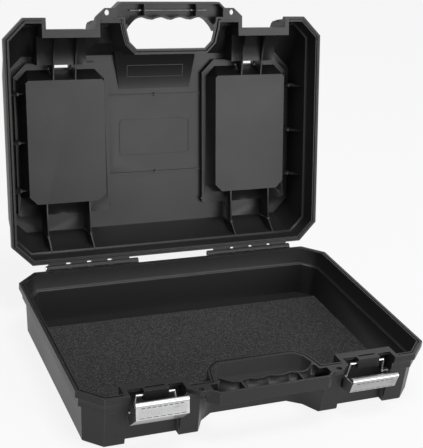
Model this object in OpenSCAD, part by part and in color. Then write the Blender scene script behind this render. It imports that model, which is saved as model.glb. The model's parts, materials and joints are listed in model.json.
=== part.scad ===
// Hard tool case with a hinged lid, two draw latches, half handles that meet
// when the case is shut, and two organiser wells in the lid.
// Frame: +X to the right, -Y to the handle side, +Z up. The origin is the
// centre of the base's flat underside. The lid is drawn open.

/* [Case] */
// Width over the rim band
case_w = 428; // [380:1:460]
// Depth over the rim band, without handle and hinges
case_d = 308; // [280:1:340]
// Height of the base, floor to rim
base_h = 68; // [60:1:80]
// Height of the lid, rim to roof
lid_h = 71; // [66:1:84]
// Cut across the corners, seen from above
corner_cut = 25; // [15:1:35]
// Angle at which the open lid comes to rest
lid_open = 101.6; // [95:0.1:110]
// Wall of the shells
wall = 3; // [2.4:0.1:4]
// Thickness of the base's floor
floor_t = 4; // [3:0.5:6]

/* [Rim] */
// Height of the stiff band along each rim
band_h = 20; // [14:1:24]
// How far the band's outer strip stands out from the wall
band_out = 8; // [6:0.5:10]
// Height of the outer strip, next to the rim
strip_h = 8; // [5:0.5:12]
// How far the outer strip stands out from the rest of the band
strip_out = 4; // [2:0.5:5]
// Width of the rim's face
band_wall = 6.6; // [6.2:0.1:8]
// Slope of the wall from the band to the bottom edge
base_draft = 2.5; // [1:0.5:6]
// Chamfer along the bottom edge
foot_cut = 2; // [1:0.5:6]
// Distance of the base rim's groove from the outer edge
groove_in = 3.4; // [2.6:0.1:4]
// Groove width in the base rim
groove_w = 1.8; // [1.4:0.1:2.2]
// Groove depth in the base rim
groove_h = 2.2; // [1.6:0.1:3]
// Gap left between the two rims when the case is shut
rim_gap = 0.2; // [0.1:0.05:0.5]
// Gap between the lid's tongue and the groove's walls
tongue_gap = 0.4; // [0.2:0.05:0.6]
// Width of the relief along the tongue's outer foot
relief_w = 1.4; // [0.8:0.1:1.8]
// Depth of that relief
relief_h = 1.5; // [0.5:0.1:2]

/* [Lid roof] */
// Height above the rim at which the roof starts to slope in
slope_start = 45; // [40:1:50]
// Inward run of the slope on the handle side
slope_front = 40.5; // [30:0.5:44]
// Inward run of the slope on the hinge side
slope_back = 17; // [8:0.5:24]
// Inward run of the slope on the two ends
slope_side = 2; // [1:0.5:10]

/* [Handle] */
// Width between the chamfered ends of the grip
grip_w = 132; // [110:1:150]
// How far the grip stands out from the rim
grip_out = 19; // [16:0.5:26]
// Height of each half grip
grip_h = 16; // [12:1:20]
// Half width of the hand opening at the grip
opening_half = 60; // [50:1:64]
// Distance from the rim band's front to the back of the hand opening
opening_depth = 39.5; // [34:0.5:44]
// Spacing of the finger scallops
finger_pitch = 26; // [20:1:28]
// Wall of the hollow grip
grip_wall = 2.5; // [2:0.1:3.5]
// Distance of each padlock hole outside the end of the grip
padlock_out = 18; // [15:0.5:20]
// Radius of the padlock holes
padlock_r = 3.5; // [2.5:0.25:4]
// Thickness of the padlock ears
ear_t = 5; // [4:0.5:8]

/* [Draw latches] */
// Distance of each latch's middle from the end of the rim
latch_in = 84; // [80:1:88]
// Depth of the channel from the front of the band
channel_depth = 21; // [18:0.5:24]
// Width of the latch lever
lever_w = 60; // [54:1:60]
// Sheet thickness of the lever
lever_t = 1.6; // [1.2:0.1:2]
// Radius of the bail wire
bail_r = 1.5; // [1.2:0.1:1.8]
// Length of the bail's legs, rod to lever pivot
bail_leg = 17.5; // [15:0.5:18.5]
// Outward lean of the bail's legs, from the rod to the lever's pivot
bail_lean = 2.5; // [1:0.5:6]
// Gap all round a pin or rod in its bore
bore_gap = 0.05; // [0.02:0.01:0.1]
// Angle of the shut bail above the horizontal that points to the back
bail_shut = 81; // [75:1:90]
// Travel of the left bail from shut to where it hangs
bail_travel_left = 177; // [150:1:190]
// Travel of the right bail from shut to where it hangs
bail_travel_right = 197; // [150:1:200]
// Tilt of the left lever where it hangs, from its shut attitude
lever_tilt_left = 50; // [30:1:60]
// Tilt of the right lever where it hangs, from its shut attitude
lever_tilt_right = 80; // [50:1:84]

/* [Case hinges] */
// Distance of the hinge axis behind the rim band
hinge_out = 5.8; // [5.6:0.1:9]
// Inner end of each hinge, from the middle
hinge_start = 49.5; // [45:0.5:55]
// Spacing of the narrow base knuckles
knuckle_pitch = 27.5; // [26:0.5:29]
// Width of a narrow base knuckle
knuckle_w = 6.5; // [5:0.5:8]
// Radius of the knuckles
knuckle_r = 4; // [3.6:0.1:4.6]
// Radius of the hinge pins
hinge_pin_r = 1.6; // [1.2:0.1:2]

/* [Organiser] */
// Half width of the bare panel between the organisers' frames
panel_half = 66; // [62:1:70]
// Distance of the frames from the ends of the rim
frame_in_side = 23; // [22:0.5:28]
// Distance of the frames from the handle side of the rim
frame_in_front = 59; // [58:1:64]
// Distance of the frames from the hinge side of the rim
frame_in_back = 51.5; // [49:0.5:58]
// How far the frames are sunk into the roof
frame_sink = 7; // [6:0.5:9]
// Depth of the organiser wells below their frames
well_depth = 21; // [16:1:24]
// Thickness of the organiser dividers
divider_t = 2; // [1.6:0.1:2.5]
// Gap round an organiser cover
cover_gap = 0.5; // [0.4:0.1:0.8]
// Radius of the organiser covers' hinge pins
small_pin_r = 1.25; // [1:0.05:1.4]

/* [Pad] */
// Thickness of the foam pad
pad_t = 3; // [2:0.5:8]
// Bare strip of floor behind the pad
pad_back_gap = 22; // [4:1:40]

/* [Hidden] */

// Colours
shell_black = [0.09, 0.09, 0.095];
pad_black = [0.13, 0.13, 0.13];
cover_black = [0.11, 0.11, 0.115];
divider_grey = [0.2, 0.2, 0.21];
plated_steel = [0.72, 0.73, 0.74];

// Outlines and sections
fine = 48;
eps = 0.01;
front = -case_d / 2;
hinge_y = case_d / 2 + hinge_out;
hinge_z = base_h;
latch_x = case_w / 2 - latch_in;
padlock_x = grip_w / 2 + padlock_out;

// The shells step in below the strip and below the band, over step_h of height
step_h = 2.5;
low_inset = band_out + base_draft;

// Channel and hand opening
channel_y = front + channel_depth;
lever_half = lever_w / 2;
channel_half = lever_half + 1.5;
channel_wall = 5;
flange_t = 3.5;
flange_out = 8;
opening_y = front + opening_depth;
opening_corner = [13.5, 9.5];
opening_flare = 4.5;
recess_out = 4;
recess_half = padlock_x - 6;
handle_line = front + 4;

// Latch: the rod's axis, its block and the lever's section at the shut position
rod_y = front + 9.5;
rod_z = base_h - 7;
block_half = 14;
block_front = front + 5.5;
block_h = 12;
bail_rest_left = bail_shut + bail_travel_left;
bail_rest_right = bail_shut + bail_travel_right;
shut_pivot = [rod_y + bail_leg * cos(bail_shut), rod_z + bail_leg * sin(bail_shut)];
bail_splay = lever_half - 6;
bail_half = bail_splay - bail_lean;
// Places in the lever's section are counted from its pivot
hook_tip = [6.4, 22.2];
hook_top = [6.4, 28.5];
roll_r = 3.2;
lever_knee = [-12, 20.5];
lever_foot = [-13.4, -5.5];
ear_r = 4;
keeper_t = 3.5;
keeper_gap = 0.35;
keeper_half = 24;
keeper_lip = 0.5;

// Organiser wells: sizes at the frame and at the well's floor, as insets from the frame
frame_x0 = panel_half;
frame_x1 = case_w / 2 - frame_in_side;
frame_y0 = front + frame_in_front;
frame_y1 = case_d / 2 - frame_in_back;
frame_mid = (frame_y0 + frame_y1) / 2;
lid_t = lid_h - wall;
ledge_in = lid_t - frame_sink;
ledge_out = ledge_in + wall;
well_in = ledge_in - well_depth;
frame_cut = 17;
well_top_inset = [5.5, 4.5, 8.5, 15];
well_floor_inset = [12, 11, 20, 18.5];
well_cut_top = 13;
well_cut_floor = 3;
well_cut_back = 10;
bay_x0 = latch_x - 26;
bay_x1 = latch_x + channel_half;
bay_y1 = frame_y0 - 2;
bay_floor_in = well_in;

// Organiser hinge and latch, heights above the rim
cover_top = lid_h;
cover_skin = 2.5;
cover_skirt = 2;
barrel_r = 3;
barrel_y = frame_y1 - wall - 4;
barrel_t = lid_h - 3.4;
catch_half = 11;
catch_neck = 6;
catch_travel = 6;
catch_y = frame_y0 + 6.4;
catch_t = cover_top - cover_skin - 0.2;
catch_slot = [frame_y0 - 1, frame_y0 + 6.5];

// Case hinge: where the lid's knuckles start and end, from the middle
knuckle_gap = 0.3;
hinge_inner_w = 11;
hinge_outer_w = 3.5;
knuckle_x = [for (i = [1:3]) hinge_start + hinge_inner_w - 1 + i * knuckle_pitch];
hinge_end = knuckle_x[2] + knuckle_pitch - 1.5 + hinge_outer_w;

// Pillars, ribs and fins
rib_t = 1.6;
side_fins_y = [for (k = [-1:1]) frame_mid + 62 * k];
centre_ribs_y = [frame_mid - 54, frame_mid + 51];
label_x = 50;
label_y = [frame_mid - 21, frame_mid + 28];
label_r = 6;

// ---------- outline helpers ----------
function octagon(w, d, c) = [
    [w/2 - c, -d/2], [w/2, -d/2 + c], [w/2, d/2 - c], [w/2 - c, d/2],
    [-w/2 + c, d/2], [-w/2, d/2 - c], [-w/2, -d/2 + c], [-w/2 + c, -d/2]];
function left_normal(p, q) = let(d = q - p) [-d[1], d[0]] / norm(d);
function meet(n1, c1, n2, c2) = let(k = n1[0]*n2[1] - n1[1]*n2[0])
    [(c1*n2[1] - n1[1]*c2) / k, (n1[0]*c2 - c1*n2[0]) / k];
// Moves every edge of an anticlockwise outline inwards by d
function inset(pts, d) = let(n = len(pts)) [for (i = [0:n - 1])
    let(a = pts[(i + n - 1) % n], b = pts[i], c = pts[(i + 1) % n],
        n1 = left_normal(a, b), n2 = left_normal(b, c))
    meet(n1, n1*b + d, n2, n2*b + d)];
// Mirrors points listed from the back to the front into an anticlockwise outline
function both_sides(pts) = concat([for (i = [len(pts) - 1:-1:0]) pts[i]], [for (p = pts) [-p[0], p[1]]]);
function cut_box(x0, x1, y0, y1, cut_y0, cut_y1) = [
    [x1 - cut_y0, y0], [x1, y0 + cut_y0], [x1, y1 - cut_y1], [x1 - cut_y1, y1],
    [x0 + cut_y1, y1], [x0, y1 - cut_y1], [x0, y0 + cut_y0], [x0 + cut_y0, y0]];

case_outline = octagon(case_w, case_d, corner_cut);

// The opening between the shell and the grip, inside the band and below it
open_far = front - 10;
opening_band = both_sides([
    [opening_half - opening_flare - opening_corner[1], opening_y],
    [opening_half - opening_flare, opening_y - opening_corner[1]],
    [opening_half, opening_y - 27],
    [opening_half + 3, open_far]]);
opening_low = both_sides([
    [recess_half - 30, opening_y + recess_out],
    [recess_half - 14, opening_y - 7.5],
    [recess_half, front + band_out],
    [recess_half, open_far]]);
// The lid's opening at a height t over the rim: it widens towards the roof
flare_start = 2.5;
flare = 0.45;
function opening_lid(t) = let(w = flare * max(0, t - flare_start),
        back = opening_y + recess_out * max(0, t - flare_start) / lid_h)
    both_sides([
        [opening_half - opening_flare - opening_corner[1] + w, back],
        [opening_half - opening_flare + w, back - opening_corner[1]],
        [opening_half + w, opening_y - 27],
        [opening_half + 3 + w, open_far]]);

// ---------- solid helpers ----------
// Solid through outlines with the same number of corners: rings of [z, outline]
module stack(rings) {
    n = len(rings[0][1]);
    m = len(rings);
    polyhedron(
        points = [for (r = rings) for (p = r[1]) [p[0], p[1], r[0]]],
        faces = concat(
            [[for (i = [0:n - 1]) i]],
            [[for (i = [n - 1:-1:0]) (m - 1)*n + i]],
            [for (k = [0:m - 2]) for (i = [0:n - 1])
                [k*n + i, (k + 1)*n + i, (k + 1)*n + (i + 1) % n, k*n + (i + 1) % n]]));
}
module slab(z0, z1, pts) { translate([0, 0, z0]) linear_extrude(z1 - z0) polygon(pts); }
module block(lo, hi) { translate(lo) cube(hi - lo); }
// Plate whose outline is given in Y and Z, between two X
module side_plate(x0, x1, pts) {
    translate([x0, 0, 0]) rotate([90, 0, 90]) linear_extrude(x1 - x0) polygon(pts);
}
// Plate whose outline is given in X and Z, between two Y
module cross_plate(y0, y1, pts) {
    translate([0, y1, 0]) rotate([90, 0, 0]) linear_extrude(y1 - y0) polygon(pts);
}
module rod_x(x0, x1, y, z, r) {
    translate([x0, y, z]) rotate([0, 90, 0]) cylinder(h = x1 - x0, r = r, $fn = fine);
}
module on_both_sides() { children(); mirror([1, 0, 0]) children(); }
// Puts a shut lid piece where the open lid holds it; its heights count from the rim
module in_open_lid() {
    translate([0, hinge_y, hinge_z]) rotate([-lid_open, 0, 0])
        translate([0, -hinge_y, rim_gap]) children();
}

// ---------- rim ----------
function rim_band(d) = inset(case_outline, d);
// Outline of the rim wall's outer face, hand opening included
function rim_route(d) = let(h = inset(opening_band, -d), f = front + d)
    concat(
        [for (p = case_outline_route(d)) p],
        [for (i = [len(h) - 1:-1:0]) if (h[i][1] > f) h[i]]);
function case_outline_route(d) = let(o = rim_band(d), f = front + d,
        s = opening_side_x(d, f))
    [[s, f], o[0], o[1], o[2], o[3], o[4], o[5], o[6], o[7], [-s, f]];
// Where the opening's flank crosses a line along X at height y
function opening_side_x(d, y) = let(h = inset(opening_band, -d), a = h[1], b = h[0])
    a[0] + (b[0] - a[0]) * (y - a[1]) / (b[1] - a[1]);
module rim_ring(d0, d1, z0, z1, end_gap = 0) {
    difference() {
        slab(z0, z1, rim_route(d0));
        slab(z0 - 1, z1 + 1, rim_route(d1));
        on_both_sides() block([latch_x - channel_half - channel_wall - 1 - end_gap, front - 1, z0 - 1],
                              [latch_x + channel_half + channel_wall + 1 + end_gap, channel_y + 8, z1 + 1]);
    }
}

// ---------- half handle, drawn downwards from a rim at z = 0 ----------
function scallop(x) = let(a = abs(x), u = (a - finger_pitch) / (opening_half + 1 - finger_pitch))
    a < finger_pitch
        ? -0.6 - 3.2 * sin(180 * a / finger_pitch)
        : -0.6 - 3.4 * sin(180 * min(1, 1.25 * u)) + 15 * pow(u, 5);
grip_inner = [for (i = [-36:36]) let(x = i / 36 * (opening_half + 1)) [x, handle_line + scallop(x)]];
grip_inner_back = [for (p = grip_inner) [p[0] * 0.985, p[1] - 2.2]];
grip_y = front - grip_out;
ear_outline = [[padlock_x - 11, handle_line + 1], [padlock_x + 14.5, handle_line + 1],
               [padlock_x + 14.5, handle_line - 5], [padlock_x + 2.5, handle_line - 15.5],
               [padlock_x - 11, handle_line - 15.5]];
module half_grip() {
    half_w = grip_w / 2;
    difference() {
        slab(-grip_h, 0, concat(
            [[-padlock_x + 6, handle_line - 12], [-half_w, grip_y], [half_w, grip_y],
             [padlock_x - 6, handle_line - 12], [padlock_x - 10, handle_line - 1],
             [opening_half + 1, handle_line + 4]],
            [for (i = [len(grip_inner) - 1:-1:0]) grip_inner[i]],
            [[-opening_half - 1, handle_line + 4], [-padlock_x + 10, handle_line - 1]]));
        difference() {
            slab(-grip_h + grip_wall, 1, concat(
                [[-padlock_x + 12.5, handle_line - 15], [-half_w + 0.5, grip_y + grip_wall],
                 [half_w - 0.5, grip_y + grip_wall], [padlock_x - 12.5, handle_line - 15],
                 [padlock_x - 12.5, handle_line - 3]],
                [for (i = [len(grip_inner_back) - 1:-1:0])
                    if (abs(grip_inner_back[i][0]) < opening_half - 2) grip_inner_back[i]],
                [[-padlock_x + 12.5, handle_line - 3]]));
            on_both_sides() block([35 - rib_t/2, grip_y, -grip_h], [35 + rib_t/2, handle_line, -0.8]);
        }
    }
}
module padlock_ear() {
    difference() {
        slab(-ear_t, 0, ear_outline);
        translate([padlock_x, handle_line - 10, -ear_t - 1])
            cylinder(h = ear_t + 2, r = padlock_r, $fn = fine);
    }
}
// Web that carries the ear down into the pillar
module ear_web() {
    side_plate(padlock_x - 9, padlock_x - 9 + rib_t * 2,
               [[handle_line + 1, -ear_t], [handle_line - 12, -ear_t], [handle_line + 1, -ear_t - 14]]);
    side_plate(padlock_x + 7, padlock_x + 7 + rib_t * 2,
               [[handle_line + 1, -ear_t], [handle_line - 4, -ear_t], [handle_line + 1, -ear_t - 14]]);
}

module handle_half() {
    half_grip();
    on_both_sides() {
        padlock_ear();
        ear_web();
    }
}

// ---------- channels for the draw latches ----------
module channel_cut(grow, z0, z1) {
    on_both_sides() block([latch_x - channel_half - grow, open_far, z0],
                          [latch_x + channel_half + grow, channel_y + min(grow, wall), z1]);
}

// ---------- base ----------
module base_outer() {
    stack([[0, inset(case_outline, low_inset + foot_cut)],
           [foot_cut, inset(case_outline, low_inset)],
           [base_h - band_h - step_h, inset(case_outline, band_out)],
           [base_h - band_h, inset(case_outline, strip_out)],
           [base_h - strip_h - step_h, inset(case_outline, strip_out)],
           [base_h - strip_h, case_outline],
           [base_h, case_outline]]);
}
module base_inner() {
    stack([[floor_t, inset(case_outline, low_inset + wall)],
           [base_h - band_h - step_h, inset(case_outline, band_out + wall)],
           [base_h - band_h, inset(case_outline, band_wall + 0.6)],
           [base_h + 1, inset(case_outline, band_wall)]]);
}
module base_recess(grow_low, grow_band) {
    slab(-1, base_h - band_h + grow_low, inset(opening_low, -grow_low));
    slab(base_h - band_h - eps, base_h + 2, inset(opening_band, -grow_band));
}
module latch_block() {
    difference() {
        union() {
            block([latch_x - channel_half - 1, channel_y - flange_out, base_h - flange_t],
                  [latch_x + channel_half + 1, channel_y + wall, base_h]);
            block([latch_x - block_half, block_front, base_h - block_h],
                  [latch_x + block_half, channel_y + 1, base_h]);
        }
        rod_x(latch_x - block_half - 1, latch_x + block_half + 1, rod_y, rod_z, bail_r + bore_gap);
        block([latch_x - 11, block_front + 6.5, base_h - 8], [latch_x + 11, block_front + 9, base_h + 1]);
    }
}
module base_knuckle(x0, x1) {
    difference() {
        union() {
            rod_x(x0, x1, hinge_y, hinge_z, knuckle_r);
            side_plate(x0, x1, [[case_d/2 - 1, base_h - 12], [hinge_y + 1, base_h - knuckle_r],
                                [hinge_y + 1, base_h], [case_d/2 - 1, base_h]]);
        }
        rod_x(x0 - 1, x1 + 1, hinge_y, hinge_z, hinge_pin_r + bore_gap);
    }
}
module base_shell() {
    color(shell_black) {
        difference() {
            union() {
                difference() {
                    base_outer();
                    base_recess(0, 0);
                    channel_cut(0, -1, base_h + 2);
                    difference() {
                        base_inner();
                        base_recess(wall, band_wall);
                        channel_cut(channel_wall, -1, base_h + 3);
                    }
                }
                on_both_sides() latch_block();
                translate([0, 0, base_h]) handle_half();
            }
            rim_ring(groove_in, groove_in + groove_w, base_h - groove_h, base_h + 1);
        }
        on_both_sides() {
            base_knuckle(hinge_start, hinge_start + hinge_inner_w);
            for (x = knuckle_x) base_knuckle(x - knuckle_w/2, x + knuckle_w/2);
            base_knuckle(hinge_end - hinge_outer_w, hinge_end);
        }
    }
}

// ---------- foam pad ----------
pad_gap = 0.6;
module foam_pad() {
    color(pad_black) difference() {
        slab(floor_t + 0.2, floor_t + 0.2 + pad_t, inset(case_outline, low_inset + wall + pad_gap));
        slab(0, base_h, inset(opening_low, -wall - pad_gap));
        on_both_sides() block([latch_x - channel_half - channel_wall - pad_gap, open_far, 0],
                              [latch_x + channel_half + channel_wall + pad_gap,
                               channel_y + wall + pad_gap, base_h]);
        block([-case_w, case_d/2 - low_inset - wall - pad_back_gap, 0], [case_w, case_d, base_h]);
    }
}

// ---------- lid ----------
roof_in = band_out + 1.5;
roof_half = case_w/2 - roof_in - slope_side;
roof_outline = cut_box(-roof_half, roof_half, front + roof_in + slope_front,
                       case_d/2 - roof_in - slope_back, corner_cut - 2, corner_cut - 4);
roof_inner = cut_box(-roof_half + 2.5, roof_half - 2.5, front + roof_in + 0.9 + slope_front,
                     case_d/2 - roof_in - 1.5 - slope_back, corner_cut - 3, corner_cut - 5);
module lid_outer() {
    stack([[0, case_outline],
           [strip_h, case_outline],
           [strip_h + step_h, inset(case_outline, strip_out)],
           [band_h, inset(case_outline, strip_out)],
           [band_h + step_h, inset(case_outline, band_out)],
           [slope_start, inset(case_outline, roof_in)],
           [lid_h, roof_outline]]);
}
module lid_inner() {
    stack([[-1, inset(case_outline, band_wall)],
           [band_h, inset(case_outline, band_wall + 0.6)],
           [band_h + step_h, inset(case_outline, band_out + wall)],
           [slope_start - 1.5, inset(case_outline, roof_in + wall)],
           [lid_t, roof_inner]]);
}
module lid_recess(grow_band, grow_low) {
    stack([[-2, inset(opening_lid(0), -grow_band)],
           [flare_start, inset(opening_lid(0), -grow_band)],
           [band_h, inset(opening_lid(band_h), -grow_band)],
           [band_h + step_h, inset(opening_lid(band_h + step_h), -grow_low)],
           [lid_h + 2, inset(opening_lid(lid_h + 2), -grow_low)]]);
}
// Bay behind each latch channel, open upwards, that gives a finger room at the organiser's latch
module bay_cut(grow) {
    on_both_sides() block([bay_x0 - grow, channel_y - 1, bay_floor_in + wall - grow],
                          [bay_x1 + grow, bay_y1 + grow, lid_h + 2]);
}
// Slanted finger room in the roof behind the handle
scoop_y0 = opening_y + recess_out - 1;
scoop_y1 = opening_y + 52;
scoop_front = lid_t - 6.5;
module scoop(grow) {
    intersection() {
        side_plate(-opening_half, opening_half,
            [[scoop_y0 + grow, scoop_front + wall - grow], [scoop_y1 + grow * 4, lid_h + 0.2 - grow],
             [scoop_y1 + grow * 4, lid_h + 2], [scoop_y0 + grow, lid_h + 2]]);
        slab(0, lid_h + 3, [[-55 - grow, scoop_y0 - 2], [55 + grow, scoop_y0 - 2],
                            [46.5 + grow, scoop_y1 + 1 + grow], [-46.5 - grow, scoop_y1 + 1 + grow]]);
    }
}
// Outline of a frame, a well's mouth and a well's floor, right-hand side
frame_outline = cut_box(frame_x0, frame_x1, frame_y0, frame_y1, frame_cut, 2.5);
function well_outline(i, cut0, cut1) = cut_box(frame_x0 + i[0], frame_x1 - i[1],
                                               frame_y0 + i[2], frame_y1 - i[3], cut0, cut1);
well_mouth = well_outline(well_top_inset, well_cut_top, well_cut_back);
well_floor = well_outline(well_floor_inset, well_cut_floor, well_cut_back);
well_y0 = frame_y0 + well_floor_inset[2];
well_y1 = frame_y1 - well_floor_inset[3];
back_post_y = frame_y1 + 24.5;
divider_y = [for (k = [1, 2]) well_y0 + (well_y1 - well_y0) * k / 3];
module well_solid() {
    slab(ledge_in, lid_h - eps, frame_outline);
    stack([[well_in, well_floor], [ledge_in + eps, well_mouth]]);
}
module well_hollow() {
    slab(ledge_out, lid_h + 1, inset(frame_outline, wall));
    difference() {
        stack([[well_in + wall, inset(well_floor, wall)],
               [ledge_out + eps, inset(well_mouth, wall)]]);
        for (y = divider_y) divider_slot(y);
    }
}
// Two pairs of ribs that hold one divider
module divider_slot(y) {
    gap = divider_t / 2 + 0.3;
    for (s = [-1, 1]) {
        y0 = y + s * gap + (s < 0 ? -rib_t : 0);
        cross_plate(y0, y0 + rib_t, [
            [frame_x0, well_in], [frame_x0 + well_floor_inset[0] + wall + 2.5, well_in],
            [frame_x0 + well_top_inset[0] + wall + 2.5, ledge_in - 2], [frame_x0, ledge_in - 2]]);
        cross_plate(y0, y0 + rib_t, [
            [frame_x1, well_in], [frame_x1 - well_floor_inset[1] - wall - 2.5, well_in],
            [frame_x1 - well_top_inset[1] - wall - 2.5, ledge_in - 2], [frame_x1, ledge_in - 2]]);
    }
}
// Fins between the channel and the well, and between the well and the hinge wall
module lid_fins() {
    wall_in = band_out + wall;
    well_x1 = frame_x1 - well_floor_inset[1];
    for (x = [latch_x - 14.3, latch_x + 14.3])
        side_plate(x - rib_t/2, x + rib_t/2, [
            [channel_y + wall/2, 24], [channel_y + 27, well_in - 6], [well_y0 + 1, well_in],
            [well_y0 + 1, well_in + 3], [frame_y0 + 2, ledge_in + 1], [bay_y1 + 1, ledge_in + 1],
            [bay_y1 + 1, bay_floor_in + 1], [channel_y + wall/2, bay_floor_in + 1]]);
    for (x = [latch_x - 29, latch_x + 28])
        side_plate(x - rib_t/2, x + rib_t/2, [
            [well_y1 - 1, well_in], [back_post_y, well_in - 2],
            [case_d/2 - wall_in + 1, band_h + 1], [case_d/2 - wall_in + 1, slope_start - 4],
            [case_d/2 - band_out - slope_back - 3, lid_t + 1], [frame_y1 - 4, lid_t + 1],
            [well_y1 - 1, ledge_in + 1]]);
    for (y = side_fins_y)
        cross_plate(y - rib_t/2, y + rib_t/2, [
            [well_x1 - 1, well_in + 2], [frame_x1 - 1, well_in + 5],
            [case_w/2 - wall_in + 0.5, band_h + 2], [case_w/2 - wall_in + 0.5, slope_start - 6],
            [case_w/2 - band_out - slope_side - 3, lid_t + 1], [frame_x1 - 1, lid_t + 1],
            [well_x1 - 1, ledge_in + 1]]);
}
// Small square posts where fins change direction or ribs cross
module post(x, y, t0, r) {
    translate([x, y, t0]) cylinder(h = lid_t + 1 - t0, r = r, $fn = 4);
}
module lid_posts() {
    for (x = [latch_x - 29, latch_x + 28]) post(x, back_post_y, well_in - 3, 2.2);
    for (y = side_fins_y) post(frame_x1 - 1, y, well_in + 4, 2.4);
    post(frame_x0, frame_y1 - 7, ledge_in - 1, 2.4);
    post(frame_x1 - 1, frame_y1 - 4, ledge_in - 1, 2.4);
}
module lid_ribs() {
    for (y = centre_ribs_y) {
        block([-frame_x0 - 1, y - rib_t/2, lid_t - 2.2], [frame_x0 + 1, y + rib_t/2, lid_t + 1]);
        post(0, y, lid_t - 3, 2.4);
    }
    difference() {
        rounded(-label_x, label_x, label_y[0], label_y[1], label_r, lid_t - 0.7, lid_t + 1);
        rounded(-label_x + 1.6, label_x - 1.6, label_y[0] + 1.6, label_y[1] - 1.6, label_r - 1.6,
                lid_t - 2, lid_t + 2);
    }
}
module rounded(x0, x1, y0, y1, r, z0, z1) {
    block([x0 + r, y0, z0], [x1 - r, y1, z1]);
    block([x0, y0 + r, z0], [x1, y1 - r, z1]);
    for (x = [x0 + r, x1 - r]) for (y = [y0 + r, y1 - r])
        translate([x, y, z0]) cylinder(h = z1 - z0, r = r, $fn = fine);
}
// Ridges on the outside of the lid's four front pillars
module bumper_ridges() {
    spans = [[opening_half + 9, latch_x - channel_half],
             [latch_x + channel_half, case_w/2 - corner_cut - 6]];
    for (k = [0:2]) for (span = spans)
        block([span[0], front + band_out - 3 + k * 1.2, band_h + step_h + 3 + k * 6.5],
              [span[1], front + band_out + 4, band_h + step_h + 6.5 + k * 6.5]);
}
// Ledge on the channel's wall that the latch's hook pulls on
keeper_z = shut_pivot[1] + hook_tip[1] - base_h - rim_gap - keeper_gap;
module keeper() {
    lip_y = shut_pivot[0] + hook_tip[0] - lever_t - 0.6;
    block([latch_x - keeper_half, lip_y - 1.4, keeper_z - keeper_t],
          [latch_x + keeper_half, channel_y + 1, keeper_z]);
    block([latch_x - keeper_half, lip_y - 1.4, keeper_z - 1],
          [latch_x + keeper_half, lip_y, keeper_z + keeper_lip]);
}
module lid_flange() {
    block([latch_x - channel_half - 1, channel_y - flange_out + 1, 0],
          [latch_x + channel_half + 1, channel_y + wall, flange_t]);
}
module lid_knuckle(x0, x1) {
    difference() {
        union() {
            rod_x(x0, x1, hinge_y, -rim_gap, knuckle_r);
            side_plate(x0, x1, [[case_d/2 - 1, 0], [hinge_y + 1, 0], [hinge_y + 1, knuckle_r],
                                [case_d/2 - 1, knuckle_r + 6]]);
        }
        rod_x(x0 - 1, x1 + 1, hinge_y, -rim_gap, hinge_pin_r + bore_gap);
    }
}
function lid_knuckle_span(i) = [
    (i == 0 ? hinge_start + hinge_inner_w : knuckle_x[i - 1] + knuckle_w/2) + knuckle_gap,
    (i == 3 ? hinge_end - hinge_outer_w : knuckle_x[i] - knuckle_w/2) - knuckle_gap];
module lid_body() {
    difference() {
        union() {
            difference() {
                lid_outer();
                lid_inner();
            }
            // Walls round the hand opening, the channels and the bays, inside the lid
            intersection() {
                lid_outer();
                union() {
                    lid_recess(band_wall, wall);
                    on_both_sides() {
                        block([latch_x - channel_half - channel_wall, open_far, 0],
                              [latch_x + channel_half + channel_wall, channel_y + wall, band_h]);
                        block([latch_x - channel_half - wall, open_far, band_h - eps],
                              [latch_x + channel_half + wall, channel_y + wall, lid_h]);
                    }
                    bay_cut(wall);
                }
            }
            intersection() {
                lid_outer();
                scoop(wall);
            }
            on_both_sides() {
                well_solid();
                lid_fins();
                lid_posts();
            }
            lid_ribs();
            on_both_sides() bumper_ridges();
        }
        lid_recess(0, 0);
        // Relief along the outer foot of the tongue
        rim_ring(groove_in - relief_w + tongue_gap, groove_in + tongue_gap + eps, -1, relief_h);
        channel_cut(0, -1, lid_h + 2);
        bay_cut(0);
        scoop(0);
        on_both_sides() {
            well_hollow();
            // Window under the cover's catch, and the hole in the frame that takes its bolt
            block([latch_x - 12, catch_slot[0], ledge_in - 1],
                  [latch_x + 12, catch_slot[1], ledge_out + 0.5]);
            block([latch_x - 12, bay_y1 - 1, ledge_in - 1],
                  [latch_x + 12, frame_y0 + wall + 0.5, catch_t + 1.1]);
            // Bores for the organiser's hinge pin
            rod_x(frame_x0 - 1, frame_x1 + 1, barrel_y, barrel_t, small_pin_r + bore_gap);
        }
    }
}
module lid_shell() {
    color(shell_black) in_open_lid() {
        lid_body();
        mirror([0, 0, 1]) handle_half();
        on_both_sides() {
            lid_flange();
            keeper();
            for (i = [0:3]) lid_knuckle(lid_knuckle_span(i)[0], lid_knuckle_span(i)[1]);
        }
        rim_ring(groove_in + tongue_gap, groove_in + groove_w - tongue_gap,
                 -groove_h + tongue_gap, relief_h + 0.5, tongue_gap);
    }
}

// ---------- hinge pins of the case ----------
module hinge_pin(side) {
    color(plated_steel) mirror([side < 0 ? 1 : 0, 0, 0]) {
        rod_x(hinge_start + 1, hinge_end + 0.3, hinge_y, hinge_z, hinge_pin_r);
        rod_x(hinge_end + 0.1, hinge_end + 1.3, hinge_y, hinge_z, hinge_pin_r + 1);
    }
}

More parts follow.
